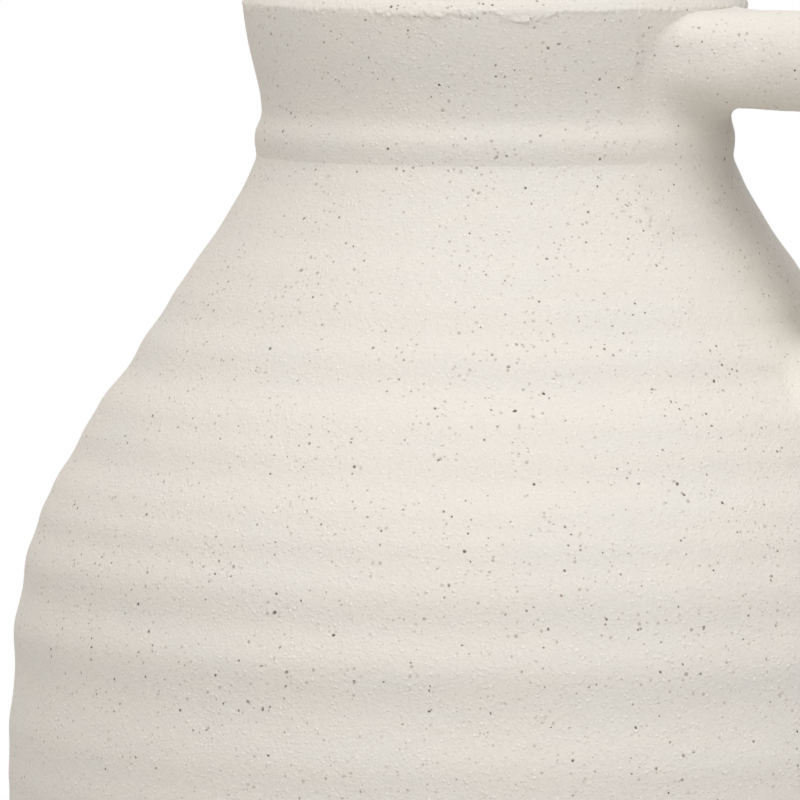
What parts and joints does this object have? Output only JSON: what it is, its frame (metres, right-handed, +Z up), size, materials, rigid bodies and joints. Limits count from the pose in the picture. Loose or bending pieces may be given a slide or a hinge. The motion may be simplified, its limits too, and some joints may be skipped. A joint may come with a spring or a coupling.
{
  "type": "stoneware jug",
  "caption": "Round-bellied thrown stoneware jug with an open flared neck, a bead at the neck's root and one level bar handle from lip to shoulder.",
  "frame": {"origin": "centre of the foot's resting face, on the jug's axis", "axes": "+Z up along the jug's axis, +X towards the handle, +Y to the left of the handle seen from outside"},
  "size_m": [0.2434, 0.2434, 0.312],
  "materials": {
    "speckled_slip": "matte sandy off-white slip with fine dark iron specks",
    "bare_clay": "matte unglazed buff clay with fine dark specks"
  },
  "bodies": {
    "root": {"floor_disc": "bare_clay", "lower_wall": "speckled_slip", "shoulder_wall": "speckled_slip", "neck_collar": "speckled_slip", "neck_bead": "speckled_slip", "lip_coil": "speckled_slip", "handle": "speckled_slip", "upper_handle_wad": "speckled_slip", "lower_handle_wad": "speckled_slip"}
  },
  "joints": []
}
